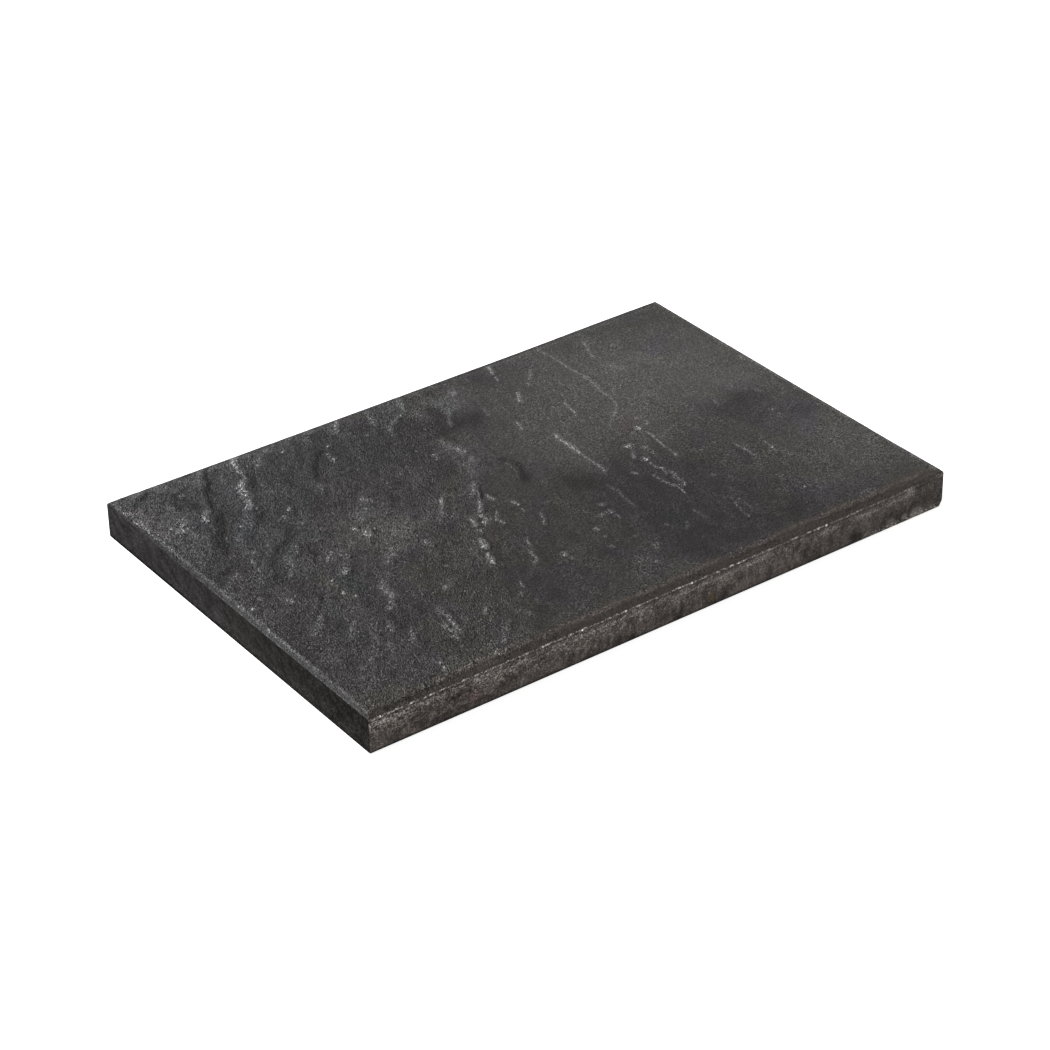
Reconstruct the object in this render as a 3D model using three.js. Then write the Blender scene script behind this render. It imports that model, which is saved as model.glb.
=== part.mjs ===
// Riven stone paving slab, in millimetres with +Z up.
//
// The slab is one solid block. It lies on its flat underside, with the origin in the middle
// of that face, +X along its long edges and +Y along its short ones. Its sides are straight,
// a 45 degree bevel runs round the upper arris, and the face on top is riven: it steps down
// in thin shelves, as slate does where it splits.

import * as THREE from 'three';

// Driving dimensions.
const LENGTH = 600; // along X
const WIDTH = 400; // along Y
const THICKNESS = 35.2; // up to the mean level of the riven face
const ARRIS = 31.2; // where the straight sides end and the bevel starts
const FOOT_WEAR = 1.2; // the lower arris is worn round by this much
const CHIP = 6; // the crumbled lower corner at +X, -Y
const PITCH = 12; // spacing of the points on the riven face
const SCARP_FACE = 8; // width of the sloping front of a shelf

const COLOUR = 0x4c4b4a;
const ROUGHNESS = 0.65;

// The main shelves of the riven face. Walking along each line, the high side is on the left,
// and it falls back to the mean level over the fade distance.
const SHELVES = [
  { line: [[-177, 196], [-184, 165], [-201, 128], [-214, 105], [-250, 78]], rise: 1.2, fade: 26 },
  { line: [[-266, 66], [-252, 95], [-234, 125], [-223, 156], [-206, 192]], rise: 1.0, fade: 24 },
  { line: [[-138, 120], [-128, 135], [-108, 158]], rise: 0.6, fade: 20 },
  { line: [[-243, 18], [-237, 33], [-218, 44], [-204, 60]], rise: 0.7, fade: 20 },
  { line: [[-20, 62], [-36, 33], [-48, 10], [-63, -20]], rise: 1.0, fade: 22 },
  { line: [[6, 8], [15, 30], [8, 60], [13, 86]], rise: 0.5, fade: 30 },
  { line: [[-70, -8], [-76, -38], [-85, -58], [-95, -84]], rise: 0.9, fade: 20 },
  { line: [[-182, 6], [-192, -8], [-200, -22]], rise: 0.7, fade: 16 },
  { line: [[-188, -54], [-193, -74], [-202, -88]], rise: 0.7, fade: 16 },
  { line: [[-168, -104], [-173, -130], [-182, -156]], rise: 0.8, fade: 18 },
];

// The slow swell of the face: low in the corner at -X, +Y, and slightly dished beyond it.
function swell(x, y) {
  const corner = Math.hypot(x + LENGTH / 2, y - WIDTH / 2);
  return -1.2 * Math.exp(-corner / 90)
    + 0.25 * Math.sin(x / 62 + 0.6) * Math.cos(y / 51 - 0.4)
    + 0.2 * Math.sin((x + y) / 88);
}

// The height that one shelf adds at a point: a ramp up at its line, then a gentle fall behind.
function shelfHeight({ line, rise, fade }, x, y) {
  let nearest = Infinity;
  let signed = 0;
  let along = 0;
  for (let i = 0; i + 1 < line.length; i += 1) {
    const [ax, ay] = line[i];
    const dx = line[i + 1][0] - ax;
    const dy = line[i + 1][1] - ay;
    const run = dx * dx + dy * dy;
    const t = THREE.MathUtils.clamp(((x - ax) * dx + (y - ay) * dy) / run, 0, 1);
    const distance = Math.hypot(x - ax - t * dx, y - ay - t * dy);
    if (distance < nearest) {
      nearest = distance;
      signed = distance * Math.sign(dx * (y - ay) - dy * (x - ax));
      along = (i + t) / (line.length - 1);
    }
  }
  const ends = THREE.MathUtils.smoothstep(Math.min(along, 1 - along), -0.02, 0.2);
  const front = THREE.MathUtils.smoothstep(signed, -SCARP_FACE / 2, SCARP_FACE / 2);
  return rise * ends * front * Math.exp(-Math.max(signed, 0) / fade);
}

// The level of the riven face at a point.
function faceLevel(x, y) {
  const shelves = SHELVES.reduce((sum, shelf) => sum + shelfHeight(shelf, x, y), 0);
  return THICKNESS + swell(x, y) + shelves;
}

// The stations of the grid along one side, from one edge to the other.
function stations(side) {
  const count = Math.round(side / PITCH);
  return Array.from({ length: count + 1 }, (_, i) => side * (i / count - 0.5));
}

function buildSlab() {
  const xs = stations(LENGTH);
  const ys = stations(WIDTH);
  const points = [];
  const triangles = [];
  const add = (x, y, z) => points.push(x, y, z) / 3 - 1;
  const quad = (a, b, c, d) => triangles.push(a, b, c, a, c, d);

  // The riven face. Its outermost points stand back from the edge by as much as they stand
  // above the arris, which is what makes the bevel 45 degrees wherever the face ends.
  const face = ys.map((y) => xs.map((x) => {
    const level = faceLevel(x, y);
    const bevel = level - ARRIS;
    const onSide = Math.abs(x) === LENGTH / 2;
    const onEnd = Math.abs(y) === WIDTH / 2;
    return add(
      onSide ? x - Math.sign(x) * bevel : x,
      onEnd ? y - Math.sign(y) * bevel : y,
      level,
    );
  }));
  for (let j = 0; j + 1 < ys.length; j += 1) {
    for (let i = 0; i + 1 < xs.length; i += 1) {
      quad(face[j][i], face[j][i + 1], face[j + 1][i + 1], face[j + 1][i]);
    }
  }

  // The outline, once round anticlockwise seen from above, as grid positions.
  const right = xs.length - 1;
  const back = ys.length - 1;
  const outline = [
    ...xs.slice(0, -1).map((_, i) => [i, 0]),
    ...ys.slice(0, -1).map((_, j) => [right, j]),
    ...xs.slice(0, -1).map((_, i) => [right - i, back]),
    ...ys.slice(0, -1).map((_, j) => [0, back - j]),
  ];

  // One ring round the slab: every point of the outline, drawn in by inset(chipped), at
  // height(chipped). Only the crumbled corner is chipped.
  const ring = (inset, height) => outline.map(([i, j]) => {
    const chipped = i === right && j === 0;
    const drawIn = inset(chipped);
    const onSide = i === 0 || i === right;
    const onEnd = j === 0 || j === back;
    return add(
      onSide ? xs[i] - Math.sign(xs[i]) * drawIn : xs[i],
      onEnd ? ys[j] - Math.sign(ys[j]) * drawIn : ys[j],
      height(chipped),
    );
  });
  const rings = [
    ring((chipped) => (chipped ? CHIP : FOOT_WEAR), () => 0),
    ring(() => 0, (chipped) => (chipped ? CHIP : FOOT_WEAR)),
    ring(() => 0, () => ARRIS),
    outline.map(([i, j]) => face[j][i]),
  ];
  for (let level = 0; level + 1 < rings.length; level += 1) {
    outline.forEach((_, k) => {
      const next = (k + 1) % outline.length;
      const [lower, upper] = [rings[level], rings[level + 1]];
      quad(lower[k], lower[next], upper[next], upper[k]);
    });
  }

  // The flat underside, as a fan about its middle.
  const middle = add(0, 0, 0);
  outline.forEach((_, k) => {
    triangles.push(middle, rings[0][(k + 1) % outline.length], rings[0][k]);
  });

  const geometry = new THREE.BufferGeometry();
  geometry.setAttribute('position', new THREE.Float32BufferAttribute(points, 3));
  geometry.setIndex(triangles);
  geometry.computeVertexNormals();
  return geometry;
}

const stone = new THREE.MeshStandardMaterial({
  color: COLOUR,
  roughness: ROUGHNESS,
  metalness: 0,
  flatShading: true,
});

const slab = new THREE.Mesh(buildSlab(), stone);
slab.name = 'slab';

const stoneSlab = new THREE.Group();
stoneSlab.add(slab);

export default stoneSlab;
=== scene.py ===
import math

import bpy
import numpy as np
from mathutils import Matrix, Vector


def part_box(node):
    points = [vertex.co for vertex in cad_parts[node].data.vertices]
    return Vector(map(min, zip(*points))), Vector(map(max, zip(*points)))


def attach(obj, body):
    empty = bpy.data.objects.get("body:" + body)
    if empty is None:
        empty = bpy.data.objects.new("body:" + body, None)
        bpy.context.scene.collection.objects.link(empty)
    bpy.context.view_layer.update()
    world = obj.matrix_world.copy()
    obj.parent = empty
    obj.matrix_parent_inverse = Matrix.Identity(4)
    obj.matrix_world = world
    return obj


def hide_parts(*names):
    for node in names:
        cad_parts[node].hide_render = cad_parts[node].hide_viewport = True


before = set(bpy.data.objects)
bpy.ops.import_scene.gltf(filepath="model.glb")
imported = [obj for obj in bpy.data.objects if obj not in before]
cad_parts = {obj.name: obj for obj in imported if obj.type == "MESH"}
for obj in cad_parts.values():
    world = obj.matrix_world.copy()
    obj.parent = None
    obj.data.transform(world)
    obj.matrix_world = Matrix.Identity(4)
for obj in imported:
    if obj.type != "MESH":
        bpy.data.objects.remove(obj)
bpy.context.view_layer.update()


# ---------------------------------------------------------------------------------------------
# The slab. One block of dark, fine-grained stone, cast face down in a riven mould and turned over:
# flat bed below, straight sides, a small bevel round the upper arris and a cleft, slate-like face.
# Its shape is worked out in millimetres and written to the mesh in metres.
# ---------------------------------------------------------------------------------------------
MM = 0.001
_, box_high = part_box("slab")
HALF_LONG = box_high[0] / MM
HALF_SHORT = box_high[1] / MM
FACE = 35.2  # mean level of the riven face above the bed
ARRIS = 31.2  # where the straight sides end and the bevel starts
NOMINAL_BEVEL = FACE - ARRIS
NARROWEST_BEVEL = 1.2
WIDEST_BEVEL = 5.5
NEAR_BEVEL = 1.5  # how many times wider the bevel is along the edge at -Y
CORNER_ROUND = 0.12  # how far the upright corners are rubbed in
CRUMBLE_HEIGHT = 7.5  # how far up the lower corner at +X, -Y has crumbled away
CRUMBLE_SLOPE = 1.9  # how much higher than wide that cut is
BED_INSET = 14.0  # where the flat rim of the bed ends and its hollows may start
HOLLOW_DEPTH = 0.35

# Stations of the mesh along the long and the short edges. Both are multiples of four, because
# the bed is netted four times coarser than the face.
LONG_STATIONS = 316
SHORT_STATIONS = 208
COARSER = 4

# What each face of the mesh belongs to, which is also the place of its material on the slab. All
# the sides start as ON_SIDE, and the short ones are told apart once the mesh is made.
ON_FACE = 0
ON_SIDE = 1
ON_SHORT_SIDE = 2
ON_BED = 3

# The shelves of the riven face. Walking along each line, the high side is on the left. Each has
# its rise, how far it takes to fall back to the mean level, the width of its front, and how pale
# (above 0) or how dark (below 0) that front is painted. The paleness is painted highlight on a
# front that faces the light, partly rubbed wear. The darkness is painted shade on a front that
# faces away from it, partly darker stone.
SHELVES = [
    ([(-176, 198), (-179, 188), (-183, 178), (-183, 168), (-186, 160)], 1.2, 26, 6.5, 0.7),
    (
        [(-187, 160), (-191, 155), (-197, 148), (-200, 138), (-204, 127), (-208, 118), (-214, 110)],
        1.6, 26, 7.5, 0.7,
    ),
    ([(-213, 111), (-222, 101), (-231, 91), (-240, 80), (-249, 66)], 0.6, 26, 11, 0.2),
    (
        [
            (-263, 64), (-258, 78), (-252, 89), (-245, 100), (-238, 110), (-232, 121),
            (-233, 135), (-230, 147), (-222, 161), (-213, 178), (-203, 197),
        ],
        1.1, 60, 7.5, -1.2,
    ),
    ([(-277, 181), (-270, 187), (-265, 194)], 0.8, 14, 6, -1.0),
    ([(-266, 66), (-259, 80), (-250, 97), (-241, 113), (-236, 124)], 0.9, 10, 10, -1.2),
    ([(-286, 40), (-262, 46)], 0.9, 10, 11, -0.9),
    ([(-211, -119), (-208, -104), (-206, -90)], 1.3, 10, 9, -0.9),
    ([(-210, -72), (-206, -50)], 0.4, 10, 9, -0.5),
    ([(-250, -28), (-241, -6)], 0.4, 10, 9, -0.4),
    ([(-257, 146), (-256, 160), (-249, 170), (-236, 176)], 0.8, 16, 5, -0.8),
    ([(-239, 136), (-243, 130), (-248, 123), (-252, 115)], 1.0, 14, 5.5, 1.1),
    ([(-262, 134), (-270, 126), (-279, 112)], 0.9, 16, 8, 0.4),
    ([(-189, 141), (-185, 150), (-178, 160)], 0.6, 10, 6, -0.7),
    ([(-136, 122), (-130, 133), (-124, 143), (-118, 150), (-106, 158)], 1.1, 26, 9, -1.2),
    ([(-249, 6), (-245, 18), (-240, 32), (-228, 43), (-215, 50), (-208, 56)], 0.6, 20, 6, -0.65),
    ([(-204, 16), (-203, 30)], 0.4, 8, 4, -0.4),
    ([(-208, 43), (-213, 36), (-216, 29)], 0.5, 16, 5, 0.5),
    ([(-225, 29), (-228, 20), (-231, 12)], 0.5, 14, 5, 0.3),
    ([(-234, 8), (-242, 4)], 0.4, 12, 5, 0.45),
    ([(-190, 17), (-196, 10), (-201, 2)], 0.5, 12, 6, 0.32),
    ([(-158, 36), (-156, 29)], 0.5, 12, 4.5, 1.5),
    ([(-153, 27), (-152, 21), (-154, 14)], 0.7, 16, 6.5, 1.2),
    ([(-6, 72), (-20, 54), (-32, 36)], 0.7, 22, 14, 0.22),
    ([(-32, 36), (-39, 24), (-46, 11)], 0.9, 20, 9, 0.38),
    ([(-47, 8), (-52, -2), (-58, -13)], 1.0, 18, 4.6, 0.75),
    ([(-45, 4), (-39, 13), (-33, 24)], 0.6, 8, 4, -0.8),
    ([(4, 8), (10, 18), (14, 30), (13, 44)], 0.7, 30, 6, -0.75),
    ([(13, 46), (9, 57), (10, 72), (14, 86)], 0.4, 20, 3, -0.3),
    ([(-68, 31), (-76, 20), (-82, 12), (-87, 4)], 0.7, 14, 4.2, 0.4),
    ([(-69, -10), (-70, -19), (-73, -28)], 0.6, 16, 4, 0.5),
    ([(-84, -43), (-84, -52), (-88, -62)], 1.0, 20, 4.8, 1.7),
    ([(-90, -65), (-93, -73), (-96, -84)], 0.8, 18, 4.2, 0.9),
    ([(-15, 111), (-14, 99), (-17, 88)], 0.6, 14, 4, 0.28),
    ([(-183, 6), (-189, -3)], 0.6, 12, 3.6, 1.0),
    ([(-190, -5), (-196, -11)], 0.5, 12, 5, 0.15),
    ([(-196, -12), (-203, -22)], 0.9, 16, 5.5, 0.95),
    ([(-183, -47), (-189, -57), (-190, -67), (-191, -76)], 0.9, 16, 8, 0.3),
    ([(-192, -76), (-197, -82), (-204, -89)], 0.8, 16, 6, 0.4),
    ([(-168, -104), (-170, -115), (-172, -127), (-174, -139), (-178, -152)], 0.8, 16, 4.2, 0.55),
    ([(-180, -130), (-182, -143), (-185, -157)], 0.5, 8, 4, 0.6),
    ([(-186, -110), (-182, -92)], 0.6, 12, 7, -0.5),
    ([(-257, -23), (-263, -33)], 0.7, 12, 8, 0.45),
    ([(-251, -59), (-262, -71), (-274, -85)], 0.7, 14, 7, 0.42),
    ([(-260, -62), (-250, -54), (-240, -45), (-231, -32)], 0.5, 12, 4, -0.5),
    ([(-231, -84), (-240, -91), (-250, -103)], 0.5, 14, 8, 0.28),
    ([(-203, -118), (-209, -127), (-216, -139)], 0.5, 14, 4.5, 0.4),
    ([(-150, -18), (-158, -22), (-166, -27)], 0.6, 12, 6, 0.6),
    ([(-132, -78), (-144, -85), (-151, -91)], 0.5, 14, 5.5, 0.4),
    ([(-133, -156), (-144, -165), (-152, -174), (-161, -182)], 0.5, 14, 5.5, 0.25),
    ([(-94, -115), (-99, -128)], 0.4, 12, 2.8, 0.45),
    ([(-103, -129), (-106, -137)], 0.4, 12, 3.2, 0.45),
    ([(-138, -131), (-147, -139)], 0.4, 12, 3.6, 0.4),
    ([(-213, -170), (-217, -187)], 0.5, 12, 4, 0.4),
    ([(-253, -134), (-259, -143)], 0.4, 12, 4, 0.2),
    ([(-247, -142), (-238, -137)], 0.4, 8, 3.5, -0.5),
    ([(-121, -33), (-110, -31), (-102, -28)], 0.4, 10, 4, -0.7),
    ([(-16, -41), (-20, -52), (-27, -61)], 0.3, 14, 3, 0.5),
    ([(-48, -65), (-53, -72), (-57, -80)], 0.3, 14, 3, 0.4),
    ([(97, 194), (95, 186), (92, 175)], 0.5, 14, 5, 1.1),
    ([(-66, 197), (-75, 185), (-84, 172)], 0.8, 14, 5.2, 0.75),
    ([(-97, 197), (-104, 187), (-111, 177)], 0.5, 12, 5, 0.3),
    ([(-36, 192), (-42, 178), (-46, 164)], 0.5, 12, 4.5, 0.24),
    (
        [(-2, 197), (-6, 182), (-11, 172), (-18, 166), (-28, 162), (-36, 155), (-42, 146)],
        0.7, 16, 3.8, 0.42,
    ),
    ([(23, 148), (16, 138), (12, 131), (7, 121)], 0.4, 16, 4.5, 0.35),
    ([(45, 174), (38, 166)], 0.5, 12, 5, 0.9),
    ([(158, 152), (158, 126), (157, 104)], 0.2, 8, 3, -0.35),
    ([(113, -154), (124, -158), (134, -163)], 0.2, 8, 3, -0.5),
]

# Thin pale veins and hard pale specks, standing a little proud: line, width and strength.
VEINS = [
    ([(72, 56), (69, 46)], 4.4, 1.4),
    ([(69, 46), (70, 36), (69, 24), (69, 13)], 3.8, 1.3),
    ([(69, 14), (69, -2), (69, -14), (67, -24)], 3.0, 0.6),
    ([(156, 197), (153, 186), (155, 172), (154, 158), (154, 144), (155, 130)], 3.2, 0.5),
    ([(155, 131), (156, 123), (154, 105), (151, 90), (152, 80)], 3.2, 0.6),
    ([(152, 82), (148, 67), (142, 57), (131, 47), (121, 39), (114, 31)], 2.6, 0.35),
    ([(165, 100), (161, 86), (155, 77)], 2.6, 0.3),
    ([(126, 165), (118, 154), (110, 147)], 2.8, 0.4),
    ([(108, 146), (107, 139)], 3.0, 0.7),
    ([(196, 178), (190, 161), (183, 145)], 3.0, 0.5),
    ([(196, 176), (192, 168)], 3.2, 0.6),
    ([(114, 97), (110, 88), (109, 76), (104, 68)], 2.6, 0.55),
    ([(58, 94), (55, 86), (53, 77)], 3.0, 0.6),
    ([(50, 133), (46, 122), (44, 117)], 2.8, 0.25),
    ([(91, 138), (87, 129), (81, 120)], 3.2, 1.0),
    ([(92, 174), (88, 163)], 2.6, 0.6),
    ([(68, 187), (67, 178)], 3.0, 0.35),
    ([(136, 23), (136, 14)], 4.4, 1.2),
    ([(137, 12), (138, 0), (136, -12), (135, -22), (134, -34), (133, -43)], 2.8, 0.47),
    ([(108, -4), (111, -3), (104, -20)], 2.4, 0.35),
    ([(107, -32), (107, -43), (110, -49), (107, -60)], 2.6, 0.4),
    ([(151, 26), (147, 18)], 2.8, 1.2),
    ([(146, 35), (144, 31)], 3.2, 0.3),
    ([(113, 2), (108, -5)], 4.6, 1.8),
    ([(105, -11), (101, -22)], 2.8, 1.0),
    ([(121, -9), (119, -14)], 3.6, 1.0),
    ([(121, -18), (120, -26)], 2.6, 0.4),
    ([(109, -23), (107, -31)], 4.4, 1.2),
    ([(109, -45), (110, -51)], 3.8, 0.7),
    ([(114, -56), (110, -66), (111, -76)], 5.0, 0.5),
    ([(111, -77), (106, -83)], 3.4, 0.9),
    ([(97, -50), (98, -68), (102, -84), (99, -95)], 2.8, 0.5),
    ([(100, -74), (102, -81)], 3.2, 0.8),
    ([(84, -36), (88, -44)], 3.2, 0.7),
    ([(55, -41), (57, -55), (54, -68), (53, -86)], 3.6, 0.3),
    ([(34, -61), (31, -65)], 4.8, 1.2),
    ([(32, -72), (32, -80)], 3.4, 1.0),
    ([(32, -81), (32, -91)], 2.8, 0.45),
    ([(22, -73), (23, -79)], 5.0, 0.85),
    ([(5, -89), (5, -94)], 3.8, 1.1),
    ([(4, -103), (4, -107)], 3.6, 0.8),
    ([(-3, -118), (0, -124)], 4.5, 0.35),
    ([(13, -160), (14, -164)], 3.6, 0.9),
    ([(11, -151), (8, -155)], 4.0, 0.75),
    ([(3, -152), (2, -155)], 3.6, 0.5),
    ([(33, -139), (25, -148)], 6.0, 0.3),
    ([(24, -118), (24, -121)], 3.6, 0.6),
    ([(57, -120), (54, -124)], 4.0, 0.45),
    ([(-39, -102), (-41, -111)], 4.8, 0.75),
    ([(-38, -112), (-40, -118)], 3.2, 0.6),
    ([(-70, -106), (-84, -116)], 4.0, 0.15),
    ([(187, -52), (188, -68), (187, -86)], 3.0, 0.42),
    ([(211, -65), (209, -75), (207, -85)], 2.6, 0.4),
    ([(125, -128), (121, -141), (118, -158)], 2.6, 0.38),
    ([(131, -125), (130, -137), (129, -151)], 2.4, 0.25),
    ([(88, -115), (89, -125), (90, -137)], 2.6, 0.25),
    ([(72, -127), (70, -134), (64, -138)], 2.8, 0.2),
    ([(161, -69), (163, -73)], 3.8, 0.35),
    ([(158, -43), (157, -46)], 3.4, 0.8),
    ([(139, -82), (138, -86)], 4.0, 0.6),
    ([(188, -145), (187, -149)], 5.0, 0.5),
    ([(230, -183), (218, -186)], 4.0, 0.22),
    ([(259, 18), (256, 14)], 3.4, 0.4),
    ([(266, 3), (263, 11)], 3.2, 0.6),
    ([(222, 18), (218, 6)], 3.0, 0.5),
    ([(254, -26), (251, -28)], 3.4, 0.8),
    ([(253, -35), (251, -43)], 3.0, 0.3),
    ([(280, -9), (278, -12)], 3.4, 0.5),
    ([(294, 68), (290, 57)], 4.0, 0.6),
    ([(213, 156), (211, 153)], 3.4, 1.6),
    ([(190, 128), (189, 112)], 8.0, 0.25),
    ([(-12, 91), (-10, 77)], 8.0, 0.5),
    ([(-11, 80), (-17, 71)], 3.6, 0.5),
    ([(-32, 95), (-36, 82)], 3.2, 0.6),
    ([(-37, 11), (-36, -4)], 3.2, 0.8),
    ([(-45, -17), (-53, -28), (-50, -39)], 2.8, 0.5),
    ([(-26, -10), (-25, -18), (-23, -22)], 3.4, 0.75),
    ([(-26, -25), (-26, -34)], 2.8, 0.4),
    ([(-57, -16), (-63, -18)], 5.5, 1.5),
    ([(-59, -20), (-60, -26)], 4, 1.2),
    ([(-63, -22), (-65, -30)], 3.2, 1.0),
    ([(-74, -31), (-75, -38)], 3.4, 0.9),
    ([(-137, 178), (-136, 176)], 3.2, 1.4),
    ([(-98, 163), (-98, 160)], 3.2, 1.1),
    ([(-86, 129), (-87, 126)], 3.4, 0.6),
    ([(-143, 191), (-148, 181)], 4.0, 0.6),
    ([(-156, 181), (-163, 174), (-168, 168)], 4.5, 0.6),
    ([(-38, 187), (-43, 175)], 4.0, 0.25),
    ([(-106, 152), (-108, 146), (-107, 139), (-111, 132)], 3.4, 0.4),
    ([(-182, 95), (-184, 90)], 3.5, 0.7),
    ([(-193, 88), (-195, 80)], 4.0, 0.8),
    ([(-250, 88), (-247, 82)], 4.0, 0.25),
    ([(-247, 169), (-246, 163)], 4.0, 0.5),
    # Painted highlight along the pale shelf front here, partly rubbed wear.
    ([(-190, 156), (-196, 149), (-199, 139), (-201, 131)], 5.5, 0.8),
    ([(-157, 34), (-155, 27)], 4.0, 0.6),
    ([(-61, 163), (-60, 153)], 3.0, 0.25),
    ([(-70, 97), (-75, 82)], 3.0, 0.2),
    ([(-250, 45), (-254, 37)], 3.6, 0.55),
    ([(-124, 71), (-125, 67)], 3.2, 0.6),
    ([(-121, 66), (-122, 58)], 4.6, 0.5),
    ([(-129, 55), (-135, 51)], 4.0, 0.5),
    ([(-144, 46), (-145, 40)], 3.6, 0.5),
    ([(-271, 34), (-274, 30)], 4.5, 0.6),
    ([(-273, 31), (-280, 26), (-288, 21), (-299, 14)], 3.0, 0.25),
    ([(-289, -17), (-292, -21)], 3.6, 1.2),
    ([(-277, -6), (-278, -12)], 3.2, 0.8),
    ([(-121, -14), (-120, -26)], 3.4, 0.6),
    ([(-148, -6), (-150, -16)], 3.0, 0.18),
    ([(-217, -39), (-219, -47)], 4.8, 0.4),
    ([(-212, -53), (-213, -55)], 3.0, 0.6),
    ([(-214, -17), (-215, -28)], 4.0, 0.3),
    ([(-261, -25), (-263, -28)], 3.4, 0.5),
    ([(-217, -104), (-219, -117)], 3.8, 0.33),
    ([(-143, -83), (-149, -90)], 3.6, 0.4),
    ([(-60, -81), (-61, -90), (-63, -98), (-70, -105)], 2.8, 0.6),
    ([(-60, -132), (-60, -135)], 4.0, 0.6),
    ([(-116, -157), (-117, -164)], 3.4, 0.3),
    ([(-121, -149), (-123, -155)], 2.8, 0.5),
    ([(-128, -60), (-129, -63)], 3.0, 0.8),
    ([(-105, -63), (-105, -66)], 3.0, 0.25),
    ([(-165, -186), (-174, -192)], 4.5, 0.55),
]

# Broad lighter (above 0) and darker (below 0) clouds in the stone: middle, reach and tone.
CLOUDS = [
    ((170, 120), 105, 0.72),
    ((230, 50), 75, 0.35),
    ((70, 50), 60, 0.35),
    ((280, -90), 70, 0.55),
    ((250, -160), 60, 0.15),
    ((-136, 20), 30, 0.40),
    ((285, 110), 60, 0.3),
    ((268, 38), 34, 0.30),
    ((-278, 100), 20, 0.2),
    ((-185, 100), 32, -0.15),
    ((-200, -85), 28, -0.2),
    ((-120, -100), 20, -0.1),
    ((80, -185), 25, -0.05),
    ((145, 30), 26, 0.3),
    ((240, 22), 22, 0.3),
    ((60, -5), 22, 0.3),
    ((0, 100), 40, 0.10),
    ((-17, 131), 36, -0.42),
    ((31, 121), 11, -0.42),
    ((-225, -40), 170, -0.14),
    ((-175, -160), 32, -0.17),
    ((-275, -187), 26, -0.14),
    ((-110, 125), 60, -0.28),
    ((-235, 100), 34, -0.22),
    ((80, -90), 75, -0.26),
    ((170, -165), 55, -0.22),
    ((60, -25), 40, -0.15),
    ((232, -8), 30, -0.45),
    ((255, 6), 16, -0.3),
    ((272, -45), 16, -0.25),
    ((-100, -100), 70, -0.12),
    ((-280, -110), 40, -0.10),
    ((48, 165), 14, 0.3),
    ((-94, 181), 11, -0.4),
    ((-60, 163), 9, -0.3),
    ((-292, 146), 16, 0.30),
    ((-258, 172), 26, -0.1),
    ((-160, 160), 24, -0.2),
    ((26, 158), 12, 0.25),
    ((78, 182), 15, -0.2),
    ((-262, -60), 24, -0.25),
    ((-140, -60), 22, -0.2),
    ((-135, -166), 7, -0.3),
    ((110, 100), 14, -0.15),
    ((55, -165), 22, -0.2),
    ((205, -150), 30, 0.3),
    ((175, -92), 12, 0.25),
    ((-85, -50), 16, 0.15),
]
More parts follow.
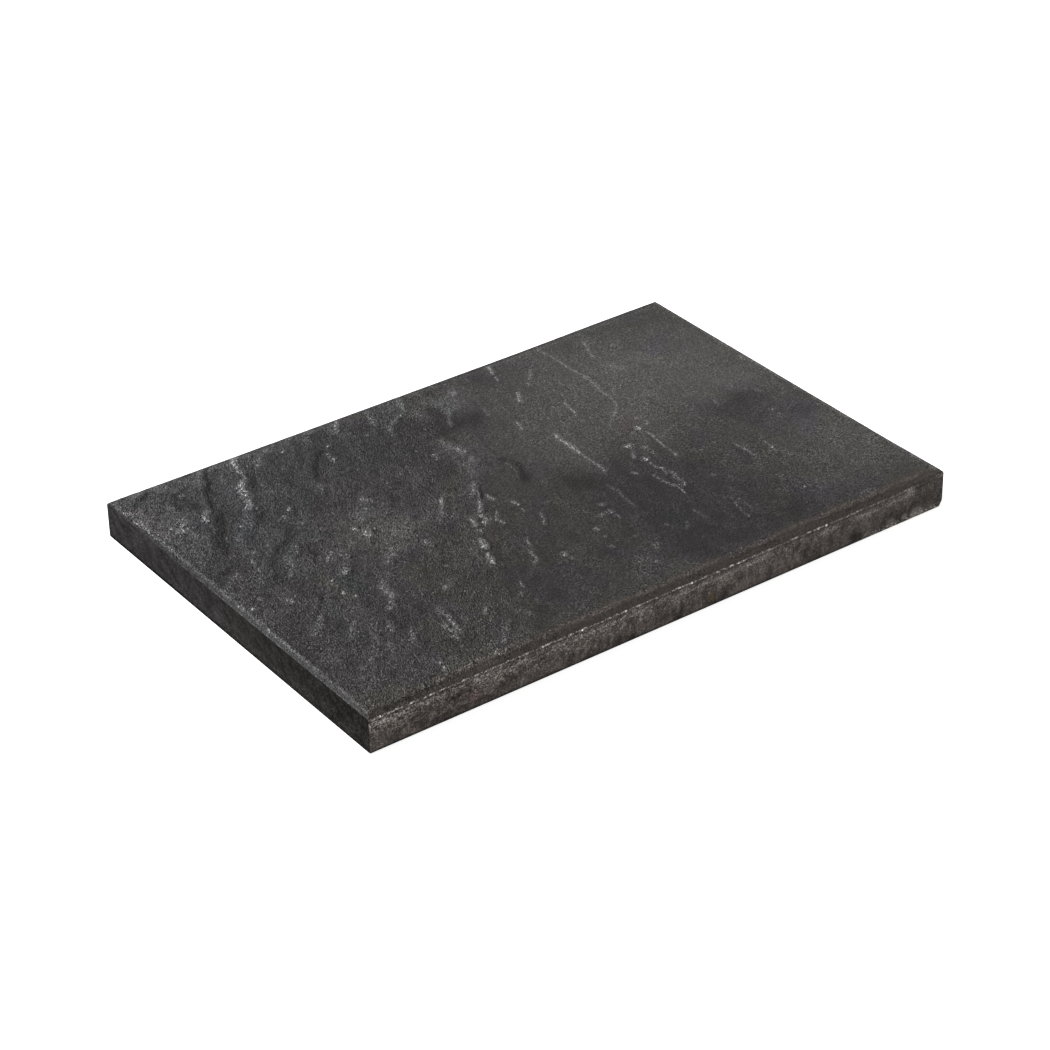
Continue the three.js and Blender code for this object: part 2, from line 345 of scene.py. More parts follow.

# Soft paler and darker patches a finger or two wide, most drawn out along the grain: line, width
# and tone. They are partly the stone's own tone and partly painted light and shade of the swells
# and hollows of the face.
PATCHES = [
    ([(-290, 164), (-291, 142)], 22, 0.5),
    ([(-252, 168), (-250, 150)], 11, -0.38),
    ([(-285, 176), (-270, 190)], 10, -0.30),
    ([(-234, 124), (-244, 104), (-253, 88), (-262, 68)], 16, -0.9),
    ([(-262, 136), (-270, 126), (-276, 116)], 16, 0.3),
    ([(-178, 138), (-174, 118)], 12, 0.15),
    ([(-165, 138), (-156, 122)], 14, -0.27),
    ([(-148, 150), (-145, 140)], 9, 0.12),
    ([(-146, 120), (-140, 100)], 12, 0.14),
    ([(-190, 148), (-182, 158)], 12, -0.38),
    ([(-200, 100), (-170, 102)], 26, -0.18),
    ([(-282, 92), (-288, 72)], 9, 0.12),
    ([(-264, 60), (-246, 56)], 12, 0.2),
    ([(-222, 70), (-222, 58)], 8, 0.15),
    ([(-205, 56), (-225, 42), (-240, 30), (-248, 6)], 10, -0.3),
    ([(-286, 42), (-266, 46)], 20, -0.6),
    ([(-66, 126), (-62, 106)], 34, -0.22),
    ([(-160, 60), (-158, 90)], 26, -0.15),
    ([(-252, 34), (-254, 18)], 9, 0.12),
    ([(-229, 34), (-233, 4)], 10, 0.12),
    ([(-205, 36), (-204, 20)], 8, -0.33),
    ([(-146, 30), (-126, 8)], 32, 0.16),
    ([(-124, 68), (-138, 50)], 11, 0.3),
    ([(-98, 196), (-112, 178)], 8, 0.12),
    ([(10, 188), (14, 182)], 14, -0.12),
    ([(-4, 158), (0, 150)], 12, 0.95),
    ([(18, 166), (29, 157), (21, 147)], 13, 0.9),
    ([(11, 162), (9, 146)], 11, -0.6),
    ([(-14, 128), (6, 126)], 14, -0.3),
    ([(41, 171), (50, 179)], 11, 0.5),
    ([(41, 160), (40, 138)], 12, 0.2),
    ([(-48, 132), (-20, 126), (2, 128)], 18, -0.2),
    ([(-14, 98), (-11, 84), (-17, 70)], 14, 0.42),
    ([(-32, 104), (-32, 78)], 14, -0.12),
    ([(-126, 146), (-106, 160)], 13, -0.7),
    ([(-137, 122), (-128, 138)], 12, -0.3),
    ([(-38, 64), (-70, 50), (-98, 42)], 20, -0.28),
    ([(12, 46), (14, 30), (4, 10)], 11, -0.4),
    ([(-204, -24), (-208, -42)], 14, -0.30),
    ([(-244, -6), (-242, -26)], 15, -0.42),
    ([(-280, -38), (-274, -52)], 12, 0.1),
    ([(-222, -22), (-215, -54)], 9, 0.12),
    ([(-150, -8), (-166, -28)], 10, 0.1),
    ([(-184, -48), (-192, -70)], 12, 0.32),
    ([(-272, -52), (-290, -72), (-292, -96)], 17, -0.4),
    ([(-240, -55), (-234, -68)], 22, 0.2),
    ([(-206, -50), (-208, -72)], 13, -0.4),
    ([(-207, -96), (-209, -117)], 13, -0.6),
    ([(-188, -92), (-184, -104)], 13, -0.33),
    ([(-265, -112), (-252, -116)], 10, -0.18),
    ([(-281, -121), (-267, -110)], 8, 0.18),
    ([(-60, -14), (-62, -22)], 10, 0.25),
    ([(-70, -14), (-92, -48), (-112, -62)], 14, 0.12),
    ([(-104, -6), (-88, -10)], 14, -0.24),
    ([(-66, -40), (-78, -56)], 12, -0.14),
    ([(-104, 8), (-86, 6)], 14, 0.1),
    ([(-6, -18), (-18, -42), (-30, -60), (-44, -66)], 12, 0.08),
    ([(-10, -44), (-10, -56)], 14, -0.1),
    ([(38, -14), (48, -30)], 18, -0.5),
    ([(-96, -112), (-84, -108)], 10, -0.1),
    ([(-84, -148), (-76, -168)], 24, -0.02),
    ([(4, -152), (14, -150)], 16, 0.25),
    ([(0, -170), (30, -180)], 16, 0.22),
    ([(34, -150), (56, -172)], 26, -0.12),
    ([(-108, -158), (-102, -170)], 9, -0.27),
    ([(187, 125), (191, 117)], 16, 0.3),
    ([(212, 127), (219, 118)], 13, 0.34),
    ([(180, 68), (184, 62)], 12, 0.22),
    ([(230, 128), (248, 138)], 14, -0.12),
    ([(212, 180), (228, 176)], 18, -0.1),
    ([(186, 145), (198, 176)], 7, 0.1),
    ([(208, 8), (226, -12), (232, -40)], 18, -0.15),
    ([(244, 10), (262, 4)], 16, -0.22),
    ([(258, -40), (272, -50)], 16, -0.15),
    ([(160, -20), (158, -32)], 14, -0.1),
    ([(182, -70), (180, -82)], 12, -0.1),
    ([(152, -170), (185, -169)], 18, -0.12),
    ([(140, -58), (152, -66)], 14, -0.1),
    ([(60, -112), (70, -124)], 22, -0.15),
    ([(60, -160), (90, -168)], 26, -0.1),
    ([(122, -150), (128, -164)], 14, -0.15),
]

# Casts of colour in the stone, which is otherwise faintly olive. Each later one covers the ones
# before it: line, width, and how much redder and how much bluer than green it is.
CASTS = [
    ([(-290, 200), (-240, 60)], 130, (0, 0)),
    ([(-210, 150), (-100, 160)], 110, (0, 0)),
    ([(-110, 160), (-72, 130), (-66, 105)], 62, (0, 0)),
    ([(-195, 100), (-190, 60)], 50, (0, 0)),
    ([(-175, 100), (-152, 108)], 26, (0, 0)),
    ([(-295, 20), (-240, 15), (-215, 50)], 60, (0, 0)),
    ([(-280, -30), (-280, -140)], 62, (2, 1)),
    ([(-250, -20), (-225, -140), (-235, -165)], 46, (2, 1)),
    ([(-195, 15), (-185, -30), (-195, -95)], 46, (2, 1)),
    ([(-175, -85), (-168, -128)], 24, (2, 1)),
    ([(-275, 12), (-268, 45)], 20, (2, 1)),
    ([(-258, 8), (-240, 30)], 20, (0, 0)),
    ([(-205, -20), (-208, -42)], 20, (-0.5, 0)),
    ([(-240, -55), (-248, -100)], 12, (-0.5, 0)),
    ([(-168, 55), (-150, 80), (-120, 95)], 34, (2, 1)),
    ([(-130, 70), (-95, 60), (-75, 70)], 64, (2, 1)),
    ([(-145, 35), (-120, 65)], 8, (0, 0)),
    ([(-168, 36), (-176, 14)], 14, (1, -2)),
    ([(-62, 76), (-32, 88), (-10, 75)], 38, (2, 1)),
    ([(-28, 132), (-5, 136), (25, 130)], 48, (2.3, 1.1)),
    ([(-5, 60), (-30, 35), (-55, 0)], 22, (2, 1)),
    ([(22, 110), (8, 70)], 10, (2, 1)),
    ([(-22, 185), (-35, 165), (-50, 150)], 20, (0, 0)),
    ([(-3, 196), (-10, 172)], 9, (0, 0.3)),
    ([(-38, 192), (-46, 165)], 10, (0, 0)),
    ([(30, 165), (22, 148)], 18, (0, 0)),
    ([(-62, 188), (-58, 170)], 14, (2, 1)),
    ([(42, 180), (45, 140)], 16, (2.5, 0.5)),
    ([(74, 190), (84, 174)], 24, (2, 1)),
    ([(105, 195), (128, 178)], 22, (2, 1)),
    ([(26, 22), (15, 8)], 16, (2, 1)),
    ([(-100, 22), (-85, 2), (-95, -8)], 20, (2, 1)),
    ([(-115, -10), (-142, -32)], 14, (2, 1)),
    ([(-160, -28), (-175, -40)], 24, (2, 1)),
    ([(-112, -72), (-118, -88)], 12, (1, 1.5)),
    ([(-5, -15), (-25, -45)], 14, (2, 1)),
    ([(-60, -68), (-36, -62)], 20, (2, 1)),
    ([(-66, -38), (-78, -57)], 9, (3.2, -1.4)),
    ([(-90, -108), (-86, -150), (-70, -168)], 26, (2, 1)),
    ([(-60, -125), (-50, -150)], 34, (2, 1)),
    ([(-4, -128), (2, -142), (18, -152), (0, -170)], 18, (2, 1)),
    ([(70, -18), (70, -40)], 34, (2, 1)),
    ([(65, -70), (72, -150), (68, -165)], 76, (2, 1)),
    ([(100, -60), (120, -100), (105, -160)], 72, (2, 1)),
    ([(146, -105), (158, -118)], 22, (2, 1)),
    ([(75, -115), (66, -128)], 12, (-0.5, 0)),
    ([(160, -172), (200, -168), (232, -176)], 30, (2, 1)),
    ([(184, -140), (192, -158)], 28, (1.9, 1.5)),
    ([(-140, -152), (-164, -180)], 12, (2, 1)),
    ([(116, -12), (108, -24)], 14, (2, 1)),
    ([(172, -20), (158, -36)], 16, (2, 1)),
    ([(186, -66), (174, -82)], 14, (2, 1)),
    ([(204, 12), (225, 0), (240, -20)], 32, (2, 1)),
    ([(252, 22), (258, 5), (250, -25), (230, -50)], 28, (2, 1)),
    ([(278, -34), (264, -56), (255, -75)], 22, (2, 2)),
    ([(255, 140), (236, 124)], 20, (2, 2.6)),
    ([(272, 118), (258, 104)], 8, (2, 1)),
    ([(145, 34), (128, 22)], 16, (4, -1)),
    ([(207, 196), (207, 188)], 14, (0.5, 1)),
    ([(260, 197), (256, 186)], 20, (0.5, 1)),
    ([(-292, 165), (-288, 130)], 22, (2.2, 0.6)),
    ([(-110, 156), (-124, 144), (-136, 122)], 14, (2.6, 0.6)),
    ([(-236, 116), (-250, 92), (-262, 66)], 9, (2.2, 0)),
    ([(-194, 152), (-205, 122), (-222, 98), (-242, 78)], 14, (0, 2)),
    ([(-246, 132), (-252, 116)], 8, (0, 1.6)),
]


def ease(value, start, end):
    """0 before start, 1 after end, and a smooth ramp between."""
    t = np.clip((value - start) / (end - start), 0.0, 1.0)
    return t * t * (3.0 - 2.0 * t)


def fading(away, reach):
    """1 in the middle of a spot, falling off softly past its reach."""
    return np.exp(-((away / reach) ** 2))


HILLS = 128  # the rolling ground repeats after this many hills each way


def rolling(x, y, size, seed):
    """Smooth random ground between -1 and 1 whose hills are about one size apart."""
    heights = np.random.default_rng(seed).uniform(-1.0, 1.0, (HILLS, HILLS))
    column = np.floor(x / size).astype(int)
    row = np.floor(y / size).astype(int)
    across = ease(x / size - column, 0.0, 1.0)
    up = ease(y / size - row, 0.0, 1.0)

    def along(one_row):
        """Height between one hill of a row and the next."""
        here = heights[one_row % HILLS, column % HILLS]
        there = heights[one_row % HILLS, (column + 1) % HILLS]
        return here * (1 - across) + there * across

    return along(row) * (1 - up) + along(row + 1) * up


def from_line(line, x, y):
    """How far each point is from a line, on which side (above 0 on its left), and how far along."""
    nearest = np.full(x.shape, np.inf)
    signed = np.zeros(x.shape)
    along = np.zeros(x.shape)
    for piece, ((ax, ay), (bx, by)) in enumerate(zip(line, line[1:])):
        dx, dy = bx - ax, by - ay
        t = np.clip(((x - ax) * dx + (y - ay) * dy) / (dx * dx + dy * dy), 0.0, 1.0)
        distance = np.hypot(x - ax - t * dx, y - ay - t * dy)
        closer = distance < nearest
        side = np.sign(dx * (y - ay) - dy * (x - ax))
        nearest = np.where(closer, distance, nearest)
        signed = np.where(closer, distance * side, signed)
        along = np.where(closer, (piece + t) / (len(line) - 1), along)
    return nearest, signed, along


def wander(x, y):
    """How far the front of a shelf strays sideways from its line."""
    return 1.3 * rolling(x, y, 9.0, 21) + 0.8 * rolling(x, y, 4.0, 22)


def cleft_strength(x, y):
    """1 where the face is roughly cleft, at -X, falling to 0 where it is nearly smooth, at +X."""
    turn = 50.0 + 0.45 * (y - HALF_SHORT)
    return 1.0 - ease(x - turn, -70.0, 60.0)


def grain_place(x, y):
    """Where a point lies across and along the cleavage grain, shortened 2.4 times along it."""
    lean = 0.28 - 0.28 * np.tanh(x / 150.0)
    return x - lean * y, y / 2.4


def face_relief(x, y):
    """Level of the riven face at each point."""
    cleft = cleft_strength(x, y)
    to_long_edge = HALF_SHORT - np.abs(y)
    to_short_edge = HALF_LONG - np.abs(x)

    # The slow swell of the whole face, low in the corner at -X, +Y.
    from_corner = np.hypot(x + HALF_LONG, y - HALF_SHORT)
    level = FACE - 0.9 * np.exp(-from_corner / 90.0)
    level += 0.25 * np.sin(x / 62.0 + 0.6) * np.cos(y / 51.0 - 0.4)
    level += 0.2 * np.sin((x + y) / 88.0)

    # The named shelves.
    strayed = x + wander(x, y)
    for line, rise, fade, front, _ in SHELVES:
        _, signed, along = from_line(line, strayed, y)
        ends = ease(np.minimum(along, 1.0 - along), -0.02, 0.2)
        step = ease(signed, -front / 2, front / 2)
        level += rise * ends * step * np.exp(-np.maximum(signed, 0.0) / fade)

    # Small cleft plates between them, drawn out along the grain, which leans from upright at +X
    # towards the diagonal at -X. Slicing a rolling ground into steps gives their broken edges.
    over, along_grain = grain_place(x, y)
    ground = rolling(over, along_grain, 15.0, 31)
    ground += 0.6 * rolling(over + 9.0, along_grain * 1.4, 8.0, 32)
    ground += 0.35 * rolling(over, along_grain * 1.3, 4.5, 33)
    steps = ground * 2.2
    sliced = np.floor(steps) + ease(steps - np.floor(steps), 0.5, 1.0)
    plates = 0.42 * (0.6 * sliced + 0.4 * steps)
    flutes = 0.22 * rolling(over, along_grain, 5.5, 34)
    roughest = fading(x + 250.0, 100.0) * fading(y - 140.0, 110.0)
    calm = 0.25 + 0.75 * ease(np.minimum(to_long_edge, to_short_edge), 3.0, 14.0)
    level += calm * (0.10 + 0.42 * cleft + 0.35 * roughest) * (plates + flutes)
    level += (0.05 + 0.05 * cleft) * rolling(x, y, 4.2, 35)
    level += calm * (0.04 + 0.16 * cleft) * rolling(x, y, 13.0, 36)

    # The long margins roll off a little before the bevel.
    return level - 0.7 * (1.0 - ease(to_long_edge, 3.0, 13.0))


def arris_level(x, y):
    """Height of the arris at a point of the rim. The bevel narrows round the end at +X and at
    the corner at -X, +Y, and nearly runs out at the corner at +X, -Y."""
    level = ARRIS + 1.3 * ease(x, 120.0, 250.0) * ease(y, -HALF_SHORT, -150.0)
    level += 1.1 * fading(np.hypot(HALF_LONG + x, HALF_SHORT - y), 95.0)
    level += 2.3 * fading(np.hypot(HALF_LONG - x, HALF_SHORT + y), 38.0)
    return level


def bevel_width(x, y):
    """Width of the bevel beside a point of the rim: as wide as the face is high above it."""
    x, y = np.broadcast_arrays(x, y)
    return np.clip(face_relief(x, y) - arris_level(x, y), NARROWEST_BEVEL, WIDEST_BEVEL)


def build_slab():
    """The whole slab as one closed mesh: face grid, rings down the edge, and the bed."""
    share_long = np.linspace(0.0, 1.0, LONG_STATIONS + 1)
    share_short = np.linspace(0.0, 1.0, SHORT_STATIONS + 1)
    rim_long = (2 * share_long - 1) * HALF_LONG
    rim_short = (2 * share_short - 1) * HALF_SHORT
    inner_long = HALF_LONG - NOMINAL_BEVEL
    inner_short = HALF_SHORT - NOMINAL_BEVEL
    bevel_front = NEAR_BEVEL * bevel_width(rim_long, -inner_short)
    bevel_back = bevel_width(rim_long, inner_short)
    bevel_left = bevel_width(-inner_long, rim_short)
    bevel_right = bevel_width(inner_long, rim_short)

    # The face: a grid stretched between the four bevel lines.
    s, t = np.meshgrid(share_long, share_short)
    x = (-HALF_LONG + bevel_left[:, None]) * (1 - s) + (HALF_LONG - bevel_right[:, None]) * s
    y = (-HALF_SHORT + bevel_front[None, :]) * (1 - t) + (HALF_SHORT - bevel_back[None, :]) * t
    level = face_relief(x, y)
    points = [np.column_stack([x.ravel(), y.ravel(), level.ravel()])]
    down_bevel = [np.zeros(x.size)]
    count = x.size
    number = np.arange(count).reshape(x.shape)
    faces = []
    tags = []

    def quads(a, b, c, d, tag):
        """Adds faces of four points each, from arrays of their corners."""
        made = np.stack([np.ravel(a), np.ravel(b), np.ravel(c), np.ravel(d)], axis=1)
        faces.extend(made.tolist())
        tags.extend([tag] * len(made))

    quads(number[:-1, :-1], number[:-1, 1:], number[1:, 1:], number[1:, :-1], ON_FACE)

    # Once round the outline, anticlockwise from above: its places on the grid and its rim points.
    i = np.concatenate([
        np.arange(LONG_STATIONS),
        np.full(SHORT_STATIONS, LONG_STATIONS),
        np.arange(LONG_STATIONS, 0, -1),
        np.zeros(SHORT_STATIONS, int),
    ])
    j = np.concatenate([
        np.zeros(LONG_STATIONS, int),
        np.arange(SHORT_STATIONS),
        np.full(LONG_STATIONS, SHORT_STATIONS),
        np.arange(SHORT_STATIONS, 0, -1),
    ])
    rim_x, rim_y = rim_long[i], rim_short[j]
    on_short_side = (i == 0) | (i == LONG_STATIONS)
    on_long_side = (j == 0) | (j == SHORT_STATIONS)
    is_corner = on_short_side & on_long_side
    around = np.cumsum(np.hypot(np.diff(rim_x, prepend=rim_x[0]), np.diff(rim_y, prepend=rim_y[0])))
    face_at_rim = level[j, i]
    arris = arris_level(rim_x, rim_y)
    bevel_at_rim = np.where(on_short_side, HALF_LONG - np.abs(x[j, i]), HALF_SHORT - np.abs(y[j, i]))

    def ring(inset, height, share):
        """Adds one ring of points, drawn in from the rim by inset at the given height. Its share
        is 1 at the top of the bevel and 0 from the arris down."""
        nonlocal count
        inset, height, _ = np.broadcast_arrays(inset, height, rim_x)
        roughness = np.where(is_corner, 0.0, np.where(on_long_side, 0.22, 0.10))
        pitted = roughness * (0.5 + 0.5 * rolling(around, height, 6.0, 61)) * ease(height, 0.5, 4.0)
        nibble = 0.9 * np.maximum(rolling(around, np.full(len(around), 3.0), 5.0, 62) - 0.45, 0.0)
        nibble *= fading(height - ARRIS, 1.2)
        draw_in = inset + pitted + nibble + np.where(is_corner, CORNER_ROUND, 0.0)
        px = rim_x * (1.0 - draw_in / HALF_LONG)
        py = rim_y * (1.0 - draw_in / HALF_SHORT)
        # The crumbled lower corner at +X, -Y: everything past a slanting cut is pushed back to it.
        cut = CRUMBLE_HEIGHT + 0.8 * rolling(around, height, 3.0, 63)
        past = np.maximum(cut - CRUMBLE_SLOPE * (HALF_LONG - px + HALF_SHORT + py) - height, 0.0)
        back = past**2 / (past + 2.0) / (2 * CRUMBLE_SLOPE**2 + 1.0)
        moved = [px - CRUMBLE_SLOPE * back, py + CRUMBLE_SLOPE * back, height + back]
        points.append(np.column_stack(moved))
        down_bevel.append(np.full(len(px), 1.0 - share))
        made = np.arange(count, count + len(px))
        count += len(px)
        return made

    # Down the edge: the rounded bevel, the arris, the side, and the foot turning under. Each ring
    # has its inset, height and share, and what the strip of faces above it belongs to.
    rings = [
        (bevel_at_rim * share - swell, arris + (face_at_rim - arris) * share + swell, share, ON_FACE)
        for share, swell in ((0.93, 0.10), (0.80, 0.16), (0.55, 0.16), (0.28, 0.10))
    ]
    rings += [(0.42, arris + 0.36, 0.1, ON_FACE), (0.10, arris - 0.15, 0.0, ON_SIDE)]
    rings += [(0.0, arris * share, 0.0, ON_SIDE) for share in np.linspace(0.975, 0.065, 12)]
    rings += [(0.05, 0.5, 0.0, ON_SIDE), (0.15, 0.12, 0.0, ON_SIDE)]
    rings += [(0.5, 0.0, 0.0, ON_BED), (6.0, 0.0, 0.0, ON_BED)]
    upper = number[j, i]
    for inset, height, share, tag in rings:
        lower = ring(inset, height, share)
        quads(lower, np.roll(lower, -1), np.roll(upper, -1), upper, tag)
        upper = lower

    # The bed: a net four times coarser, joined to the last ring by fans of triangles.
    half_bed_long, half_bed_short = HALF_LONG - BED_INSET, HALF_SHORT - BED_INSET
    bed_long = np.linspace(-half_bed_long, half_bed_long, LONG_STATIONS // COARSER + 1)
    bed_short = np.linspace(-half_bed_short, half_bed_short, SHORT_STATIONS // COARSER + 1)
    bx, by = np.meshgrid(bed_long, bed_short)
    hollow = rolling(bx, by, 26.0, 71) + 0.5 * rolling(bx, by, 11.0, 72)
    hollow = HOLLOW_DEPTH * ease(hollow, 0.1, 1.2)
    points.append(np.column_stack([bx.ravel(), by.ravel(), hollow.ravel()]))
    down_bevel.append(np.ones(bx.size))
    bed = np.arange(count, count + bx.size).reshape(bx.shape)
    quads(bed[:-1, :-1], bed[1:, :-1], bed[1:, 1:], bed[:-1, 1:], ON_BED)
    bed_ring = bed[j[::COARSER] // COARSER, i[::COARSER] // COARSER]
    for k, here in enumerate(bed_ring):
        there = bed_ring[(k + 1) % len(bed_ring)]
        fine = [upper[(k * COARSER + step) % len(upper)] for step in range(COARSER + 1)]
        for step in range(COARSER):
            near = here if step < COARSER // 2 else there
            faces.append([near, fine[step + 1], fine[step]])
        faces.append([here, there, fine[COARSER // 2]])
        tags.extend([ON_BED] * (COARSER + 1))

    points = np.vstack(points)
    mesh = bpy.data.meshes.new("stone slab")
    mesh.from_pydata((points * MM).tolist(), [], faces)
    mesh.polygons.foreach_set("use_smooth", np.ones(len(faces), bool))
    return mesh, points, np.array(tags), np.concatenate(down_bevel)


slab_mesh, slab_points, slab_tags, slab_down_bevel = build_slab()
slab = bpy.data.objects.new("riven_slab", slab_mesh)
bpy.context.collection.objects.link(slab)


def nearest_line(lines, x, y):
    """Signed distance to the nearest of some lines, in half widths of that line, and the line's
    strength, which is 0 past its ends and well away from it."""
    distance = np.full(x.shape, 99.0)
    signed = np.full(x.shape, 99.0)
    strength = np.zeros(x.shape)
    for line, width, strong in lines:
        away, side, along = from_line(line, x, y)
        closer = away < distance
        span = sum(math.dist(a, b) for a, b in zip(line, line[1:]))
        ends = ease(np.minimum(along, 1.0 - along) * span, 0.0, min(2.5, 0.25 * span))
        near = 1.0 - ease(away, width * 0.8, width * 0.8 + 3.0)
        distance = np.where(closer, away, distance)
        signed = np.where(closer, side / (0.5 * width), signed)
        strength = np.where(closer, strong * ends * near, strength)
    return np.clip(signed, -6.0, 6.0), strength


def cast_at(x, y):
    """How much redder and how much bluer than green the stone is at each point."""
    red, blue = np.full(x.shape, 1.0), np.full(x.shape, -2.0)
    shift = 5.0 * rolling(x, y, 16.0, 53) + 2.5 * rolling(x, y, 7.0, 54)
    for line, width, (redder, bluer) in CASTS:
        away, _, _ = from_line(line, x + shift, y - shift)
        cover = 1.0 - ease(away, 0.5 * width - 3.5, 0.5 * width + 3.5)
        red += (redder - red) * cover
        blue += (bluer - blue) * cover
    return red, blue


def cloud_tone(x, y):
    """Broad lightness of the stone at each point, with the patches' painted light and shade."""
    tone = np.zeros(x.shape)
    drift_x, drift_y = rolling(x, y, 30.0, 51), rolling(x, y, 30.0, 52)
    for (cx, cy), reach, amount in CLOUDS:
        drift = min(12.0, 0.3 * reach)
        tone += amount * fading(np.hypot(x - cx + drift * drift_x, y - cy + drift * drift_y), reach)
    ragged_x, ragged_y = 3.0 * rolling(x, y, 10.0, 55), 3.0 * rolling(x, y, 10.0, 56)
    for line, width, amount in PATCHES:
        away, _, _ = from_line(line, x + ragged_x, y + ragged_y)
        tone += amount * fading(away, 0.6 * width)
    return tone


# What the materials need to know at each point of the slab is worked out here and kept on it.
# The purplish and the cleft stone are a little darker than the rest.
slab_x, slab_y = slab_points[:, 0], slab_points[:, 1]
fronts = [(line, width, tone) for line, rise, fade, width, tone in SHELVES]
front_at, front_tone = nearest_line(fronts, slab_x + wander(slab_x, slab_y), slab_y)
vein_at, vein_strength = nearest_line(VEINS, slab_x + 0.6 * rolling(slab_x, slab_y, 7.0, 41), slab_y)
cast_red, cast_blue = cast_at(slab_x, slab_y)
cleft_share = cleft_strength(slab_x, slab_y)
cloud = cloud_tone(slab_x, slab_y) - 0.07 * ease(cast_red + cast_blue, 0.0, 3.0) - 0.045 * cleft_share
over_grain, along_grain = grain_place(slab_x, slab_y)
for name, values in {
    "front_at": front_at,
    "front_tone": front_tone,
    "vein_at": vein_at,
    "vein_strength": vein_strength,
    "cloud": cloud,
    "cleft": cleft_share,
    "cast_red": cast_red,
    "cast_blue": cast_blue,
    "down_bevel": slab_down_bevel,
    "over_grain": over_grain,
    "along_grain": along_grain,
}.items():
    layer = slab_mesh.attributes.new(name, "FLOAT", "POINT")
    layer.data.foreach_set("value", values.astype(np.float32))


def wire(value, socket):
    """Sets a socket to a plain value, or wires it to the output where the value is worked out."""
    if isinstance(value, Output):
        socket.id_data.links.new(value.socket, socket)
    else:
        socket.default_value = value


def node(tree, kind, inputs=None, **settings):
    """The first output of a new node that has these settings and inputs."""
    made = tree.nodes.new(kind)
    for name, value in settings.items():
        setattr(made, name, value)
    for name, value in (inputs or {}).items():
        wire(value, made.inputs[name])
    return Output(made.outputs[0])


class Output:
    """What a node gives. Arithmetic on it adds the nodes that work out the answer."""

    def __init__(self, socket):
        self.socket = socket
        self.tree = socket.id_data

    def __getitem__(self, name):
        """Another output of the same node."""
        return Output(self.socket.node.outputs[name])

    def step(self, operation, a, b=0.0, clamp=False):
        """One step of arithmetic on numbers."""
        return node(self.tree, "ShaderNodeMath", {0: a, 1: b}, operation=operation, use_clamp=clamp)

    def __add__(self, other):
        return self.step("ADD", self, other)

    def __sub__(self, other):
        return self.step("SUBTRACT", self, other)

    def __rsub__(self, other):
        return self.step("SUBTRACT", other, self)

    def __mul__(self, other):
        return self.step("MULTIPLY", self, other)

    def __rtruediv__(self, other):
        return self.step("DIVIDE", other, self)

    def __pow__(self, other):
        return self.step("POWER", self, other)

    def __abs__(self):
        return self.step("ABSOLUTE", self)

    def most(self, other):
        """The larger of the two."""
        return self.step("MAXIMUM", self, other)

    def clamped(self):
        """The same, kept between 0 and 1."""
        return self.step("ADD", self, clamp=True)

    def ramp(self, start, end, low=0.0, high=1.0):
        """Eased from low where this is start to high where it is end."""
        inputs = {"Value": self, "From Min": start, "From Max": end, "To Min": low, "To Max": high}
        return node(self.tree, "ShaderNodeMapRange", inputs, interpolation_type="SMOOTHSTEP")

    def mix(self, a, b, kind="RGBA"):
        """From a where this is 0 to b where it is 1. They are colours, or what kind says."""
        order = ("FLOAT", "VECTOR", "RGBA").index(kind)
        inputs = {0: self, 2 + 2 * order: a, 3 + 2 * order: b}
        return node(self.tree, "ShaderNodeMix", inputs, data_type=kind)[order]

    def vector(self, operation, other=(0.0, 0.0, 0.0), slot=1):
        """One step of arithmetic on vectors."""
        return node(self.tree, "ShaderNodeVectorMath", {0: self, slot: other}, operation=operation)

    def scaled(self, by):
        """A vector or a colour times a number."""
        return self.vector("SCALE", by, "Scale")

    def turned(self, degrees, axis):
        """A place turned about an axis of the slab."""
        inputs = {"Vector": self, "Angle": math.radians(degrees)}
        return node(self.tree, "ShaderNodeVectorRotate", inputs, rotation_type=axis)

    def noise(self, scale, detail, roughness=0.5):
        """Cloudy noise over a place, from 0 to 1."""
        inputs = {"Vector": self, "Scale": scale, "Detail": detail, "Roughness": roughness}
        return node(self.tree, "ShaderNodeTexNoise", inputs)


def grey(level, warmth=0.0):
    """A nearly neutral stone colour. Above 0, warmth turns it brown."""
    return (level * (1 + warmth), level, level * (1 - 0.9 * warmth), 1.0)


def new_group(name, inputs, outputs):
    """A node group that takes a place and numbers (name: default) and gives outputs (name: kind)."""
    tree = bpy.data.node_groups.new(name, "ShaderNodeTree")
    tree.interface.new_socket("Place", in_out="INPUT", socket_type="NodeSocketVector")
    for title, start in inputs.items():
        number = tree.interface.new_socket(title, in_out="INPUT", socket_type="NodeSocketFloat")
        number.default_value = start
    for title, kind in outputs.items():
        tree.interface.new_socket(title, in_out="OUTPUT", socket_type="NodeSocket" + kind)
    given = Output(tree.nodes.new("NodeGroupInput").outputs[0])
    return tree, given, tree.nodes.new("NodeGroupOutput").inputs


# The sandy grain of the stone: lumps a few grains across, and grains of two sizes, each a little
# paler or darker than the next. Tone is what a grain multiplies its ground colour by, Gloss how
# polished it is, and Tilt the way it leans.
grit, given, result = new_group(
    "sandy grain",
    {"Grain Size": 1.0, "Contrast": 1.0},
    {"Height": "Float", "Tone": "Float", "Gloss": "Float", "Tilt": "Vector"},
)
pitch = 1.0 / given["Grain Size"]
lumps = given["Place"].noise(pitch * 0.4, 1.3, 0.6)
fine = node(grit, "ShaderNodeTexVoronoi", {"Vector": given["Place"], "Scale": pitch})["Color"]
coarse = node(grit, "ShaderNodeTexVoronoi", {"Vector": given["Place"], "Scale": pitch * 0.42})["Color"]
fine_chance = node(grit, "ShaderNodeSeparateColor", {"Color": fine})
coarse_chance = node(grit, "ShaderNodeSeparateColor", {"Color": coarse})
fine_tone = (fine_chance["Green"] ** 2.2 * 3.0 - 0.94) * given["Contrast"] + 1.0
coarse_tone = (coarse_chance["Green"] ** 3.5 * 0.8 - 0.18) * given["Contrast"] + 1.0
